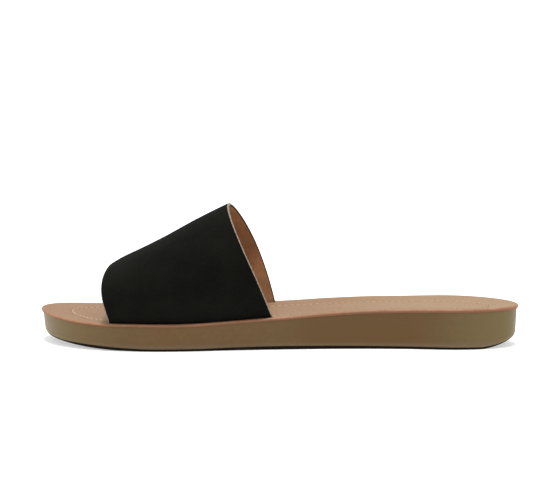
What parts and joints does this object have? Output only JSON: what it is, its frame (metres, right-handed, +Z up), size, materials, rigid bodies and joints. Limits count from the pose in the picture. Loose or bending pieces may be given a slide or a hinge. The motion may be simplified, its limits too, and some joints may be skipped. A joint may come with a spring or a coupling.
{
  "type": "slide sandal",
  "caption": "Left slide sandal: low moulded unit sole, thin cupped footbed with a rounded edge, and one wide arched strap over the forefoot that leaves toe and heel open.",
  "frame": {"origin": "on the floor, under the middle of the shoe's length and width", "axes": "+X towards the heel, +Y towards the medial side, +Z up"},
  "size_m": [0.252, 0.0922, 0.0727],
  "materials": {
    "moulded_sole": "satin taupe",
    "tan_footbed": "fine grain, matte",
    "black_nubuck": "nubuck, brown lining"
  },
  "bodies": {
    "root": {"sole": "moulded_sole", "footbed": "tan_footbed", "strap": "black_nubuck"}
  },
  "joints": []
}
